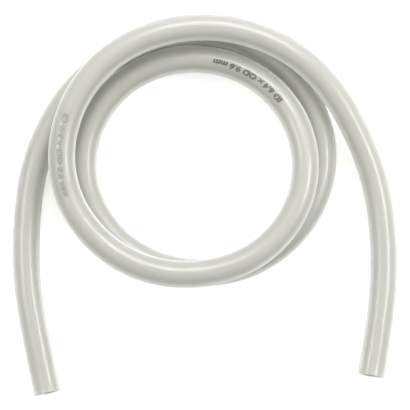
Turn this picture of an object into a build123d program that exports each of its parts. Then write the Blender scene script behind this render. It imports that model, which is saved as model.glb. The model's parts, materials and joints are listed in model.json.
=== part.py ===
from build123d import *

import math
import os

# Length of flexible silicone tubing that rests in a loose coil of nearly three turns.
# One extrusion: a round tube with one round bore, cut square at both ends.
# Millimetres, +Z up. The tube lies on z = 0 and the origin is under the middle of its box.

# Driving dimensions
tube_od = 9.6               # outside diameter of the tube
tube_bore = 6.4             # diameter of the bore
turn_gap = 0.2              # clearance between turns that touch
inner_turn_radius = 36.4    # centreline radius of the tightest stretch of the coil
points_per_turn = 24        # route points in one full turn
arc_share = 0.45            # share of the shorter run that each corner's arc takes

# Where the coil lies every eighth of a turn, counterclockwise from the right leg at +X.
# Both numbers are in turn pitches: how far the turn lies outside inner_turn_radius, and how
# far the turns below lift it off the floor. The first and the last station only steer the
# curve where the legs run off.
stations_per_turn = 8
coil_stations = [
    (5.54, 0.00),
    (2.67, 0.20),   # right leg comes in
    (1.80, 0.88),
    (1.36, 1.01),   # first turn rides on the third
    (1.28, 1.02),
    (1.08, 0.80),   # lies in the groove between the second turn and the left leg
    (0.56, 0.92),
    (0.16, 1.01),   # crosses straight over the second turn
    (0.17, 1.00),
    (0.28, 0.80),   # second turn starts, on the inner side of the third
    (0.30, 0.45),
    (0.34, 0.20),
    (0.41, 0.08),
    (0.33, 0.00),
    (0.05, 0.00),
    (0.00, 0.00),   # tightest stretch, on the floor
    (0.37, 0.00),
    (0.92, 0.00),   # third turn starts, outside the second
    (1.23, 0.00),
    (1.38, 0.00),
    (1.46, 0.00),
    (2.13, 0.00),   # left leg runs off
    (3.94, 0.00),
]

# Free legs, each point counted from the coil's end that it joins: across, along, and how
# far it is lifted off the floor.
right_leg_points = [
    (-0.9, -73.2, 0.0),     # cut end
    (2.5, -54.2, 0.0),
    (4.3, -34.7, 0.0),
    (3.3, -15.7, 0.6),
]
left_leg_points = [
    (-2.3, -19.5, 0.0),
    (-2.0, -39.5, 0.0),
    (1.5, -59.5, 0.0),
    (5.9, -79.3, 0.0),      # cut end
]

turn_pitch = tube_od + turn_gap
lying_height = tube_od / 2
point_angle = 2 * math.pi / points_per_turn
points_per_station = points_per_turn / stations_per_turn


def between(values, place):
    """Smooth curve through evenly spaced values, read at a place between two of them."""
    first = min(int(place), len(values) - 3)
    share = place - first
    a, b, c, d = values[first - 1:first + 3]
    slope = (c - a) * share
    bend = (2 * a - 5 * b + 4 * c - d) * share ** 2
    twist = (3 * (b - c) + d - a) * share ** 3
    return b + (slope + bend + twist) / 2


def coil_route():
    """Route points of the turns, from the right leg to the left leg."""
    offsets = [offset for offset, lift in coil_stations]
    lifts = [lift for offset, lift in coil_stations]
    steps = round((len(coil_stations) - 3) * points_per_station)
    # the rounded path passes inside its points, so they stand that much further out
    outward = 1 / math.cos(point_angle / 2)
    points = []
    for step in range(steps + 1):
        place = 1 + step / points_per_station
        radius = (inner_turn_radius + turn_pitch * between(offsets, place)) * outward
        height = lying_height + turn_pitch * max(between(lifts, place), 0)
        angle = step * point_angle
        points.append(Vector(radius * math.cos(angle), radius * math.sin(angle), height))
    return points


def leg_route(leg_points, joint):
    """Route points of a free leg, laid out from the end of the coil that it joins."""
    return [Vector(joint.X + x, joint.Y + y, lying_height + lift) for x, y, lift in leg_points]


def corner_radii(points):
    """Arc radius of each corner of the route: as large as its two runs allow."""
    radii = []
    for before, corner, after in zip(points, points[1:], points[2:]):
        run_in = corner - before
        run_out = after - corner
        half_turn = math.radians(run_in.get_angle(run_out)) / 2
        radii.append(arc_share * min(run_in.length, run_out.length) / math.tan(half_turn))
    return radii


def straight_end(end, second, third):
    """Straight length of bore behind a cut end."""
    run = (second - end).length
    return run - arc_share * min(run, (third - second).length)


coil = coil_route()
route = leg_route(right_leg_points, coil[0]) + coil + leg_route(left_leg_points, coil[-1])
radii = corner_radii(route)
path = FilletPolyline(*route, radius=radii)

# silicone_tube: the annular section swept along the whole path
section_plane = Plane(origin=path @ 0, z_dir=path % 0)
section = section_plane * (Circle(tube_od / 2) - Circle(tube_bore / 2))
tube = sweep(section, path=path)

# the origin goes under the middle of the box, on the floor
box = tube.bounding_box()
to_origin = Vector(-box.center().X, -box.center().Y, -box.min.Z)
tube = tube.moved(Location(to_origin))

os.makedirs("parts", exist_ok=True)
export_step(tube, "parts/silicone_tube.step")

section_area = math.pi * (tube_od ** 2 - tube_bore ** 2) / 4
print("arc radii", [round(radius, 1) for radius in radii])
print("length", round(path.length, 2))
print("volume over section times length", round(tube.volume / (section_area * path.length), 5))
print("coil centre", [round(value, 3) for value in to_origin])
for name, end, outward, straight in (
    ("right end", path @ 0, -(path % 0), straight_end(*route[:3])),
    ("left end", path @ 1, path % 1, straight_end(*route[:-4:-1])),
):
    print(name, [round(value, 4) for value in end + to_origin])
    print("    outward", [round(value, 9) for value in outward], "straight for", round(straight, 3))
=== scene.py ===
"""Looks of a loose coil of silicone laboratory tubing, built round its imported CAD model."""

import json
import math

import bmesh
import bpy
from bpy.props import (
    FloatProperty,
    FloatVectorProperty,
    IntProperty,
    PointerProperty,
    StringProperty,
)
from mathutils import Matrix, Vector


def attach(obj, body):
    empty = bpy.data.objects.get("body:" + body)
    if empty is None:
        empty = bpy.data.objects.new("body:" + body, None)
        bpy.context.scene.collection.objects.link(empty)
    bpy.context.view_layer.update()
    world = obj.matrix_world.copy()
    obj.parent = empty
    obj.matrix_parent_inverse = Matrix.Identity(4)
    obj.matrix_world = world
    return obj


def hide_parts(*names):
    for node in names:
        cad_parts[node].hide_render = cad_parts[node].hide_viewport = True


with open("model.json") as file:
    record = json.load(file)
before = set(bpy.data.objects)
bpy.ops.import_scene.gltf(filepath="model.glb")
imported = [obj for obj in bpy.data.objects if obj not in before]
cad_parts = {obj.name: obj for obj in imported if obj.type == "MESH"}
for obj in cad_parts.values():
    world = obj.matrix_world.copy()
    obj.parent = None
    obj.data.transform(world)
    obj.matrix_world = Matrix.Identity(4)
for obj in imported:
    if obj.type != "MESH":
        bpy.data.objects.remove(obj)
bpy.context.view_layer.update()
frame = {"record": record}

bl_info = {
    "name": "Silicone tubing coil",
    "version": (1, 0, 0),
    "blender": (4, 5, 0),
    "location": "3D View > Sidebar > Tubing",
    "description": "Builds a loose coil of translucent silicone tubing with its print and a plain stage",
    "category": "Object",
}

MM = 0.001
NODE = "silicone_tube"
BODY = "root"

RIGHT_END = next(
    mount for mount in frame["record"]["mounts"] if mount["name"] == "right_end_bore"
)

# The route of the tube, the same as the solid's. Where the coil lies every eighth of a turn,
# counterclockwise from the right leg at +X, both in turn pitches: how far the turn lies
# outside INNER_TURN_RADIUS, and how far the turns below lift it off the floor.
TURN_GAP = 0.2 * MM
INNER_TURN_RADIUS = 36.4 * MM
POINTS_PER_TURN = 24
STATIONS_PER_TURN = 8
COIL_STATIONS = [
    (5.54, 0.00),
    (2.67, 0.20),
    (1.80, 0.88),
    (1.36, 1.01),
    (1.28, 1.02),
    (1.08, 0.80),
    (0.56, 0.92),
    (0.16, 1.01),
    (0.17, 1.00),
    (0.28, 0.80),
    (0.30, 0.45),
    (0.34, 0.20),
    (0.41, 0.08),
    (0.33, 0.00),
    (0.05, 0.00),
    (0.00, 0.00),
    (0.37, 0.00),
    (0.92, 0.00),
    (1.23, 0.00),
    (1.38, 0.00),
    (1.46, 0.00),
    (2.13, 0.00),
    (3.94, 0.00),
]
# Free legs in millimetres, each point counted from the coil's end that it joins.
RIGHT_LEG_POINTS = [
    (-0.9, -73.2, 0.0),
    (2.5, -54.2, 0.0),
    (4.3, -34.7, 0.0),
    (3.3, -15.7, 0.6),
]
LEFT_LEG_POINTS = [
    (-2.3, -19.5, 0.0),
    (-2.0, -39.5, 0.0),
    (1.5, -59.5, 0.0),
    (5.9, -79.3, 0.0),
]

# Meshing: cuts in a rounded edge, the print's longest edge and how often it may be halved
ROUNDING_STEPS = 3
PRINT_EDGE = 0.35 * MM
PRINT_CUTS = 3
WELD = 0.001 * MM

# Print: the type's boldness and slant as shares of its size, and for each print its ink, how
# far along the tube from the right end it starts and how far it is turned from the crest
LETTER_BOLDNESS = 0.04
LETTER_SLANT = 0.15
PRINTS = (
    ("rubbed_print", "rubbed_colour", 219 * MM, math.radians(7)),
    ("dark_print", "colour", 390 * MM, math.radians(-13)),
)

# Silicone: its die lines and haze, and how much it covers: nearly all up to MILKY_BELOW over the
# centreline, least from CLEAR_ABOVE up. Then how far light spreads in it and how much of its
# shading is light from the far side.
DIE_LINE_GAP = 0.4 * MM
DIE_LINE_LENGTH = 33.3 * MM
DIE_LINE_DEPTH = 0.03 * MM
HAZE_PATCH = 6.25 * MM
MILKY_BELOW = 1.2 * MM
CLEAR_ABOVE = 3.6 * MM
MILKY_COVER = 0.97
CLEAR_COVER = 0.36
LIGHT_SPREAD = 2.0 * MM
THROUGH_SHARE = 0.25

# Ink: its patches, and how much lighter it is where it is thin
INK_PATCH = 0.667 * MM
INK_THINNING = 0.25

# Stage: the glow that the paper needs to look white, and the light that the white room gives
FLOOR_HALF = 1.5
FLOOR_GLOW = 0.50
ROOM_LIGHT = 0.52
SENSOR_WIDTH = 36  # millimetres, as the lens takes it
CAMERA_AIM_Y = 0.3 * MM
LAMPS = (
    # name, place, size, watts
    ("back_softbox", (0.1, 0.60, 0.50), 0.6, 4.6),
    ("left_softbox", (-0.7, 0.10, 0.42), 0.4, 1.7),
    ("right_softbox", (0.7, 0.10, 0.42), 0.4, 2.6),
)


# ---------------------------------------------------------------- sizes and colours

def linear(hex_colour):
    """sRGB hex to the linear red, green and blue that shaders take."""
    channels = [int(hex_colour[i:i + 2], 16) / 255 for i in (1, 3, 5)]
    return [c / 12.92 if c <= 0.04045 else ((c + 0.055) / 1.055) ** 2.4 for c in channels]


class TubeSettings(bpy.types.PropertyGroup):
    outside_diameter: FloatProperty(
        name="Outside diameter",
        description="Outside diameter of the tube",
        default=9.6 * MM,
        unit="LENGTH",
    )
    bore_diameter: FloatProperty(
        name="Bore",
        description="Diameter of the hole through the tube",
        default=2 * RIGHT_END["dims"]["r_mm"] * MM,
        unit="LENGTH",
    )
    edge_rounding: FloatProperty(
        name="Cut edge rounding",
        description="Rounding of the edges that the cutter left",
        default=0.12 * MM,
        unit="LENGTH",
    )
    sides: IntProperty(
        name="Sides",
        description="Number of faces around the tube",
        default=56,
    )
    colour: FloatVectorProperty(
        name="Silicone",
        description="Colour of the milky silicone",
        default=linear("#F2F4EE"),
        subtype="COLOR",
        size=3,
    )
    # painted shade: the bore is the same silicone as the wall, drawn in this darker warm grey for the
    # light lost in the bore
    bore_shade_colour: FloatVectorProperty(
        name="Bore",
        description="Colour of the bore's wall",
        default=linear("#948C84"),
        subtype="COLOR",
        size=3,
    )


class PrintSettings(bpy.types.PropertyGroup):
    words: StringProperty(
        name="Print",
        description="The size that is printed along the tube",
        default="ID 6.4 x OD 9.6 mm",
    )
    length: FloatProperty(
        name="Length",
        description="Length of one print along the tube",
        default=30 * MM,
        unit="LENGTH",
    )
    height: FloatProperty(
        name="Height",
        description="Height of a capital letter",
        default=2.3 * MM,
        unit="LENGTH",
    )
    film: FloatProperty(
        name="Film",
        description="How far the ink stands off the tube",
        default=0.02 * MM,
        unit="LENGTH",
    )
    colour: FloatVectorProperty(
        name="Ink",
        description="Colour of the printing ink",
        default=linear("#211E1C"),
        subtype="COLOR",
        size=3,
    )
    rubbed_colour: FloatVectorProperty(
        name="Rubbed ink",
        description="Colour of the print where it is nearly rubbed off",
        default=linear("#8E8C86"),
        subtype="COLOR",
        size=3,
    )


class StageSettings(bpy.types.PropertyGroup):
    view_width: FloatProperty(
        name="View width",
        description="Width that the camera sees at the tube's height",
        default=145.8 * MM,
        unit="LENGTH",
    )
    camera_distance: FloatProperty(
        name="Camera distance",
        description="Distance from the camera to the coil",
        default=1.0,
        unit="LENGTH",
    )
    camera_tilt: FloatProperty(
        name="Camera tilt",
        description="How far the camera leans back from looking straight down",
        default=math.radians(7),
        subtype="ANGLE",
    )
    floor_colour: FloatVectorProperty(
        name="Floor",
        description="Colour of the paper that the tube lies on",
        default=linear("#F4F4F2"),
        subtype="COLOR",
        size=3,
    )


# ---------------------------------------------------------------- route and frames

def between(values, place):
    """Smooth curve through evenly spaced values, read at a place between two of them."""
    first = min(int(place), len(values) - 3)
    share = place - first
    a, b, c, d = values[first - 1:first + 3]
    slope = (c - a) * share
    bend = (2 * a - 5 * b + 4 * c - d) * share ** 2
    twist = (3 * (b - c) + d - a) * share ** 3
    return b + (slope + bend + twist) / 2


def coil_route(outside_diameter):
    """Route points of the turns, from the right leg to the left leg."""
    pitch = outside_diameter + TURN_GAP
    offsets = [offset for offset, lift in COIL_STATIONS]
    lifts = [lift for offset, lift in COIL_STATIONS]
    per_station = POINTS_PER_TURN / STATIONS_PER_TURN
    point_angle = 2 * math.pi / POINTS_PER_TURN
    # the curve passes inside its points, so they stand that much further out
    outward = 1 / math.cos(point_angle / 2)
    points = []
    for step in range(round((len(COIL_STATIONS) - 3) * per_station) + 1):
        place = 1 + step / per_station
        radius = (INNER_TURN_RADIUS + pitch * between(offsets, place)) * outward
        height = outside_diameter / 2 + pitch * max(between(lifts, place), 0)
        angle = step * point_angle
        points.append(Vector((radius * math.cos(angle), radius * math.sin(angle), height)))
    return points


def leg_route(leg_points, joint, outside_diameter):
    """Route points of a free leg, laid out from the end of the coil that it joins."""
    start = Vector((joint.x, joint.y, outside_diameter / 2))
    return [start + Vector(point) * MM for point in leg_points]


def tube_route(outside_diameter):
    """All route points in the row frame: the first is the mouth of the right end."""
    coil = coil_route(outside_diameter)
    right_leg = leg_route(RIGHT_LEG_POINTS, coil[0], outside_diameter)
    left_leg = leg_route(LEFT_LEG_POINTS, coil[-1], outside_diameter)
    points = right_leg + coil + left_leg
    to_frame = Vector(RIGHT_END["pos_m"]) - points[0]
    return [point + to_frame for point in points]


def as_mesh(curve):
    """The mesh that a curve or text evaluates to. The curve itself is removed."""
    carrier = bpy.data.objects.new(curve.name, curve)
    bpy.context.scene.collection.objects.link(carrier)
    bpy.context.view_layer.update()
    seen = carrier.evaluated_get(bpy.context.evaluated_depsgraph_get())
    mesh = bpy.data.meshes.new_from_object(seen)
    bpy.data.objects.remove(carrier)
    bpy.data.curves.remove(curve)
    return mesh


def centreline(route, steps_per_point=8):
    """Points of the smooth NURBS curve that has the route as its control points."""
    curve = bpy.data.curves.new("tube_route", "CURVE")
    curve.dimensions = "3D"
    curve.resolution_u = steps_per_point
    spline = curve.splines.new("NURBS")
    spline.points.add(len(route) - 1)
    for control, point in zip(spline.points, route):
        control.co = (*point, 1)
    spline.order_u = 3
    spline.use_endpoint_u = True
    line = as_mesh(curve)
    points = [vertex.co.copy() for vertex in line.vertices]
    bpy.data.meshes.remove(line)
    return points


class Line:
    """A centreline with its running length, and each point's direction, crest and outer side."""

    def __init__(self, points):
        self.points = points
        self.along = [0.0]
        for before, after in zip(points, points[1:]):
            self.along.append(self.along[-1] + (after - before).length)
        ends = list(range(len(points)))
        self.directions = [
            (points[min(i + 1, ends[-1])] - points[max(i - 1, 0)]).normalized() for i in ends
        ]
        # the tube never stands upright, so its outer side is always level
        up = Vector((0, 0, 1))
        self.sides = [direction.cross(up).normalized() for direction in self.directions]
        self.crests = [
            side.cross(direction) for side, direction in zip(self.sides, self.directions)
        ]

    def at(self, distance):
        """Centre, crest and outer side at a distance along the line."""
        last = len(self.points) - 2
        i = next((k for k in range(last + 1) if self.along[k + 1] >= distance), last)
        share = (distance - self.along[i]) / (self.along[i + 1] - self.along[i])
        return [
            values[i].lerp(values[i + 1], share)
            for values in (self.points, self.crests, self.sides)
        ]


# ---------------------------------------------------------------- meshes

def add_object(name, mesh, *materials):
    """Link a mesh to the scene, smooth, with its materials, riding on the part's body."""
    for polygon in mesh.polygons:
        polygon.use_smooth = True
    for material in materials:
        mesh.materials.append(material)
    piece = bpy.data.objects.new(name, mesh)
    bpy.context.scene.collection.objects.link(piece)
    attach(piece, BODY)
    return piece


def rounded_cut(line, end, outward, outer, inner, rounding):
    """Rings across a cut end, from the outer wall to the bore: (centre, crest, side, radius)."""
    centre, crest, side = line.points[end], line.crests[end], line.sides[end]
    rings = []
    for radius, bulge in ((outer, -1), (inner, 1)):
        corner = []
        for step in range(ROUNDING_STEPS + 1):
            turn = math.pi / 2 * step / ROUNDING_STEPS
            back = rounding * (1 - math.sin(turn))
            shrink = bulge * rounding * (1 - math.cos(turn))
            corner.append((centre - outward * back, crest, side, radius + shrink))
        rings += corner if bulge < 0 else corner[::-1]
    return rings


def tube_rings(line, outer, inner, rounding):
    """Rings of the closed surface: along the wall, across the left end's cut, back along the
    bore and across the right end's cut."""
    last = len(line.points) - 1
    middle = range(1, last)
    wall = [(line.points[i], line.crests[i], line.sides[i], outer) for i in middle]
    bore = [(line.points[i], line.crests[i], line.sides[i], inner) for i in reversed(middle)]
    far_cut = rounded_cut(line, last, line.directions[last], outer, inner, rounding)
    near_cut = rounded_cut(line, 0, -line.directions[0], outer, inner, rounding)
    return wall + far_cut + bore + near_cut[::-1]


def tube_mesh(name, line, settings):
    """The tube as one closed surface. Its straight attribute holds where each point lies on the
    uncoiled tube: how far toward the crest, how far toward the outer side, how far along."""
    outer = settings.outside_diameter / 2
    inner = settings.bore_diameter / 2
    rings = tube_rings(line, outer, inner, settings.edge_rounding)
    sides = settings.sides
    middle = len(line.points) - 2
    cut = (len(rings) - 2 * middle) // 2
    along = line.along[1:-1]
    whole = line.along[-1]
    places = along + [whole] * cut + along[::-1] + [0.0] * cut
    verts = []
    straight = []
    for (centre, crest, side, radius), place in zip(rings, places):
        for k in range(sides):
            angle = 2 * math.pi * k / sides
            up = radius * math.cos(angle)
            across = radius * math.sin(angle)
            verts.append(centre + crest * up + side * across)
            straight += [up, across, place]
    faces = []
    for i in range(len(rings)):
        here = i * sides
        following = (i + 1) % len(rings) * sides
        for k in range(sides):
            beside = (k + 1) % sides
            faces.append((here + k, here + beside, following + beside, following + k))
    mesh = bpy.data.meshes.new(name)
    mesh.from_pydata(verts, [], faces)
    # the wall's rings come first, then one cut, then the bore's rings
    bore_rings = range(middle + cut - 1, 2 * middle + cut)
    for polygon in mesh.polygons:
        polygon.material_index = int(polygon.index // sides in bore_rings)
    mesh.attributes.new("straight", "FLOAT_VECTOR", "POINT").data.foreach_set("vector", straight)
    return mesh


def flat_words(settings):
    """The print as a flat mesh: x along the tube from 0 to its length, y across its middle."""
    letters = bpy.data.curves.new("print_letters", "FONT")
    letters.body = settings.words
    letters.fill_mode = "FRONT"
    letters.offset = LETTER_BOLDNESS
    letters.shear = LETTER_SLANT
    letters.resolution_u = 3
    flat = as_mesh(letters)
    left = min(vertex.co.x for vertex in flat.vertices)
    right = max(vertex.co.x for vertex in flat.vertices)
    low = min(vertex.co.y for vertex in flat.vertices)
    high = max(vertex.co.y for vertex in flat.vertices)
    for vertex in flat.vertices:
        vertex.co.x = (vertex.co.x - left) / (right - left) * settings.length
        vertex.co.y = ((vertex.co.y - low) / (high - low) - 0.5) * settings.height
    return flat


def print_mesh(name, line, start, turn, radius, settings):
    """Letters as thin closed films on the tube, from a distance along it, turned from its crest."""
    flat = flat_words(settings)
    shape = bmesh.new()
    shape.from_mesh(flat)
    bpy.data.meshes.remove(flat)
    bmesh.ops.remove_doubles(shape, verts=shape.verts, dist=WELD)
    bmesh.ops.triangulate(shape, faces=shape.faces)
    # short edges, so that the letters follow the round wall
    for _ in range(PRINT_CUTS):
        long_edges = [edge for edge in shape.edges if edge.calc_length() > PRINT_EDGE]
        if not long_edges:
            break
        bmesh.ops.subdivide_edges(shape, edges=long_edges, cuts=1)
        bmesh.ops.triangulate(shape, faces=shape.faces)
    top = list(shape.faces)
    made = bmesh.ops.extrude_face_region(shape, geom=top)
    raised = {item for item in made["geom"] if isinstance(item, bmesh.types.BMVert)}
    for vert in shape.verts:
        centre, crest, side = line.at(start + vert.co.x)
        angle = turn - vert.co.y / radius
        away = radius + (settings.film if vert in raised else -settings.film)
        vert.co = centre + (crest * math.cos(angle) + side * math.sin(angle)) * away
    bmesh.ops.recalc_face_normals(shape, faces=shape.faces)
    mesh = bpy.data.meshes.new(name)
    shape.to_mesh(mesh)
    shape.free()
    return mesh


# ---------------------------------------------------------------- materials

def add_node(tree, kind, links=(), **settings):
    """Add a node with its settings and inputs; links are (input name, output socket)."""
    node = tree.nodes.new(kind)
    inputs = settings.pop("inputs", {})
    for name, value in settings.items():
        setattr(node, name, value)
    for name, value in inputs.items():
        node.inputs[name].default_value = value
    for name, output in links:
        tree.links.new(output, node.inputs[name])
    return node


def new_material(name):
    """A material with an empty node tree, and that tree."""
    material = bpy.data.materials.new(name)
    material.use_nodes = True
    material.node_tree.nodes.clear()
    return material, material.node_tree


def extruded_silicone(colour):
    """Platinum-cured silicone rubber, extruded: milky and translucent, so light soaks in and the walls
    look brighter than the bore behind them, whose darker colour is painted shade. The die leaves a satin
    skin with very fine lines along the tube."""
    material, tree = new_material("extruded_silicone")
    place = add_node(tree, "ShaderNodeAttribute", attribute_name="straight")
    # die lines: about 0.4 mm apart around the tube, a few centimetres long
    lines_scale = add_node(
        tree, "ShaderNodeVectorMath", [(0, place.outputs["Vector"])],
        operation="MULTIPLY",
        inputs={1: (1 / DIE_LINE_GAP, 1 / DIE_LINE_GAP, 1 / DIE_LINE_LENGTH)},
    )
    lines = add_node(
        tree, "ShaderNodeTexNoise", [("Vector", lines_scale.outputs[0])],
        inputs={"Scale": 1.0, "Detail": 2.0, "Roughness": 0.5},
    )
    # handling haze: soft patches about 6 mm across
    haze = add_node(
        tree, "ShaderNodeTexNoise", [("Vector", place.outputs["Vector"])],
        inputs={"Scale": 1 / HAZE_PATCH, "Detail": 4.0, "Roughness": 0.6},
    )
    roughness = add_node(
        tree, "ShaderNodeMapRange", [("Value", haze.outputs["Fac"])],
        inputs={"From Min": 0.3, "From Max": 0.7, "To Min": 0.36, "To Max": 0.46},
    )
    bump = add_node(
        tree, "ShaderNodeBump", [("Height", lines.outputs["Fac"])],
        inputs={"Strength": 0.15, "Distance": DIE_LINE_DEPTH},
    )
    # the bore shows along the crest, where the wall is set see-through, and there the bore's painted
    # shade makes a darker band; lower on the sides the wall is set nearly opaque, as it looks from
    # above, where the wall is seen too deep to see through. This goes by height round the tube, not by
    # the view.
    around = add_node(tree, "ShaderNodeSeparateXYZ", [("Vector", place.outputs["Vector"])])
    cover = add_node(
        tree, "ShaderNodeMapRange", [("Value", around.outputs["X"])],
        interpolation_type="SMOOTHSTEP",
        inputs={
            "From Min": MILKY_BELOW,
            "From Max": CLEAR_ABOVE,
            "To Min": MILKY_COVER,
            "To Max": CLEAR_COVER,
        },
    )
    shader = add_node(
        tree, "ShaderNodeBsdfPrincipled",
        [
            ("Roughness", roughness.outputs["Result"]),
            ("Normal", bump.outputs["Normal"]),
            ("Alpha", cover.outputs["Result"]),
        ],
        inputs={
            "Base Color": (*colour, 1.0),
            "IOR": 1.41,
            "Subsurface Weight": 1.0,
            "Subsurface Radius": (1.0, 0.95, 0.8),
            "Subsurface Scale": LIGHT_SPREAD,
        },
    )
    # light that falls on the far side comes through the wall
    through = add_node(tree, "ShaderNodeBsdfTranslucent", inputs={"Color": (*colour, 1.0)})
    wall = add_node(
        tree, "ShaderNodeMixShader", [(1, shader.outputs["BSDF"]), (2, through.outputs["BSDF"])],
        inputs={"Fac": THROUGH_SHARE},
    )
    add_node(tree, "ShaderNodeOutputMaterial", [("Surface", wall.outputs["Shader"])])
    return material


def bore_painted_shade(colour):
    """The same silicone where it meets the air in the bore: smooth from the die's pin. Its colour is
    painted shade, drawn darker than the wall for the light lost in the bore; it is bright where it is
    seen at a slant."""
    material, tree = new_material("bore_painted_shade")
    # the high index gives the strong mirror that silicone against air has from the wall's side
    shader = add_node(
        tree, "ShaderNodeBsdfPrincipled",
        inputs={
            # painted shade: this dark base colour stands for the light lost in the bore
            "Base Color": (*colour, 1.0),
            "Roughness": 0.26,
            "IOR": 3.0,
        },
    )
    add_node(tree, "ShaderNodeOutputMaterial", [("Surface", shader.outputs["BSDF"])])
    return material


def printed_ink(name, colour):
    """Solvent ink, rolled on: dull, a little patchy where the soft wall gave way."""
    material, tree = new_material(name)
    place = add_node(tree, "ShaderNodeTexCoord")
    patches = add_node(
        tree, "ShaderNodeTexNoise", [("Vector", place.outputs["Object"])],
        inputs={"Scale": 1 / INK_PATCH, "Detail": 2.0, "Roughness": 0.6},
    )
    lighter = [c + (1 - c) * INK_THINNING for c in colour]
    # inputs 6 and 7 are the two colours, output 2 the mixed one
    mix = add_node(
        tree, "ShaderNodeMix", [("Factor", patches.outputs["Fac"])],
        data_type="RGBA", inputs={6: (*colour, 1.0), 7: (*lighter, 1.0)},
    )
    shader = add_node(
        tree, "ShaderNodeBsdfPrincipled", [("Base Color", mix.outputs[2])],
        inputs={"Roughness": 0.6},
    )
    add_node(tree, "ShaderNodeOutputMaterial", [("Surface", shader.outputs["BSDF"])])
    return material


def seen_directly(tree):
    """1 for rays from the camera, mirrors and glass, 0 for light that spreads in the room."""
    path = add_node(tree, "ShaderNodeLightPath")
    direct = add_node(
        tree, "ShaderNodeMath",
        [(0, path.outputs["Is Camera Ray"]), (1, path.outputs["Is Glossy Ray"])],
        operation="MAXIMUM",
    )
    return add_node(
        tree, "ShaderNodeMath",
        [(0, direct.outputs[0]), (1, path.outputs["Is Transmission Ray"])],
        operation="MAXIMUM",
    ).outputs[0]


def matt_paper(colour):
    """Matt white paper, lit evenly: it looks white but still takes the tube's soft shadow."""
    material, tree = new_material("matt_paper")
    diffuse = add_node(tree, "ShaderNodeBsdfDiffuse", inputs={"Color": (*colour, 1.0)})
    strength = add_node(
        tree, "ShaderNodeMath", [(0, seen_directly(tree))],
        operation="MULTIPLY", inputs={1: FLOOR_GLOW},
    )
    glow = add_node(tree, "ShaderNodeEmission", [("Strength", strength.outputs[0])])
    both = add_node(tree, "ShaderNodeAddShader", [(0, diffuse.outputs[0]), (1, glow.outputs[0])])
    add_node(tree, "ShaderNodeOutputMaterial", [("Surface", both.outputs[0])])
    return material


# ---------------------------------------------------------------- operators

def tube_line(settings):
    """The tube's centreline in the row frame."""
    return Line(centreline(tube_route(settings.outside_diameter)))


class TUBING_OT_tube(bpy.types.Operator):
    """Build the silicone tube along its route, with its bore and square-cut ends"""

    bl_idname = "tubing.tube"
    bl_label = "Silicone tube"

    def execute(self, context):
        settings = context.scene.tubing_tube
        line = tube_line(settings)
        mesh = tube_mesh("coiled_tube", line, settings)
        piece = add_object(
            "coiled_tube", mesh, extruded_silicone(settings.colour), bore_painted_shade(settings.bore_shade_colour),
        )
        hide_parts(NODE)
        return {"FINISHED"}


class TUBING_OT_print(bpy.types.Operator):
    bl_idname = "tubing.size_print"
    bl_label = "Size print"

    def execute(self, context):
        settings = context.scene.tubing_print
        tube = context.scene.tubing_tube
        line = tube_line(tube)
        radius = tube.outside_diameter / 2
        for name, ink, start, turn in PRINTS:
            mesh = print_mesh(name, line, start, turn, radius, settings)
            material = printed_ink(f"{name}_ink", getattr(settings, ink))
            add_object(name, mesh, material)
        return {"FINISHED"}


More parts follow.
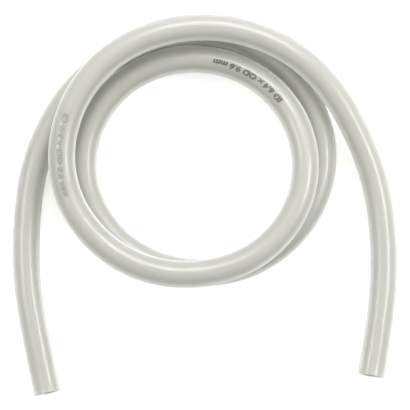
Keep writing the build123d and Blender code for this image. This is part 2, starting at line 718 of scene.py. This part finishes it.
class TUBING_OT_stage(bpy.types.Operator):
    """Set the plain floor, the soft lamps, the world and the camera"""

    bl_idname = "tubing.stage"
    bl_label = "Stage"

    def execute(self, context):
        settings = context.scene.tubing_stage
        scene = context.scene
        scene.view_settings.view_transform = "Standard"

        mesh = bpy.data.meshes.new("floor")
        half = FLOOR_HALF
        corners = [(-half, -half, 0), (half, -half, 0), (half, half, 0), (-half, half, 0)]
        mesh.from_pydata(corners, [], [(0, 1, 2, 3)])
        mesh.materials.append(matt_paper(settings.floor_colour))
        floor = bpy.data.objects.new("floor", mesh)
        scene.collection.objects.link(floor)

        world = bpy.data.worlds.new("white_room")
        scene.world = world
        world.use_nodes = True
        tree = world.node_tree
        tree.nodes.clear()
        strength = add_node(
            tree, "ShaderNodeMapRange", [("Value", seen_directly(tree))],
            inputs={"To Min": ROOM_LIGHT, "To Max": 1.0},
        )
        background = add_node(
            tree, "ShaderNodeBackground", [("Strength", strength.outputs["Result"])],
            inputs={"Color": (1, 1, 1, 1)},
        )
        add_node(tree, "ShaderNodeOutputWorld", [("Surface", background.outputs[0])])

        for name, place, size, watts in LAMPS:
            lamp = bpy.data.lights.new(name, "AREA")
            lamp.size = size
            lamp.energy = watts
            holder = bpy.data.objects.new(name, lamp)
            holder.location = place
            holder.rotation_euler = (-Vector(place)).to_track_quat("-Z", "Y").to_euler()
            scene.collection.objects.link(holder)

        target = Vector((0, CAMERA_AIM_Y, RIGHT_END["pos_m"][2]))
        lean = settings.camera_tilt
        toward_camera = Vector((0, -math.sin(lean), math.cos(lean)))
        lens = bpy.data.cameras.new("camera")
        lens.sensor_width = SENSOR_WIDTH
        lens.lens = lens.sensor_width * settings.camera_distance / settings.view_width
        camera = bpy.data.objects.new("camera", lens)
        camera.location = target + toward_camera * settings.camera_distance
        camera.rotation_euler = (lean, 0, 0)
        scene.collection.objects.link(camera)
        scene.camera = camera
        return {"FINISHED"}


class TUBING_PT_panel(bpy.types.Panel):
    """Sizes and steps of the tubing coil"""

    bl_idname = "TUBING_PT_panel"
    bl_label = "Tubing coil"
    bl_space_type = "VIEW_3D"
    bl_region_type = "UI"
    bl_category = "Tubing"

    def draw(self, context):
        for group, operators in STEPS:
            settings = getattr(context.scene, group)
            for name in settings.bl_rna.properties.keys():
                if name not in ("rna_type", "name"):
                    self.layout.prop(settings, name)
            for operator in operators:
                self.layout.operator(operator)


STEPS = (
    ("tubing_stage", ("tubing.stage",)),
    ("tubing_tube", ("tubing.tube",)),
    ("tubing_print", ("tubing.size_print",)),
)
GROUPS = {
    "tubing_tube": TubeSettings,
    "tubing_print": PrintSettings,
    "tubing_stage": StageSettings,
}
CLASSES = (*GROUPS.values(), TUBING_OT_tube, TUBING_OT_print, TUBING_OT_stage, TUBING_PT_panel)


def register():
    for cls in CLASSES:
        bpy.utils.register_class(cls)
    for name, group in GROUPS.items():
        setattr(bpy.types.Scene, name, PointerProperty(type=group))


def unregister():
    for name in GROUPS:
        delattr(bpy.types.Scene, name)
    for cls in reversed(CLASSES):
        bpy.utils.unregister_class(cls)


def main():
    register()
    bpy.ops.tubing.stage()
    bpy.ops.tubing.tube()
    bpy.ops.tubing.size_print()


if __name__ == "__main__":
    main()
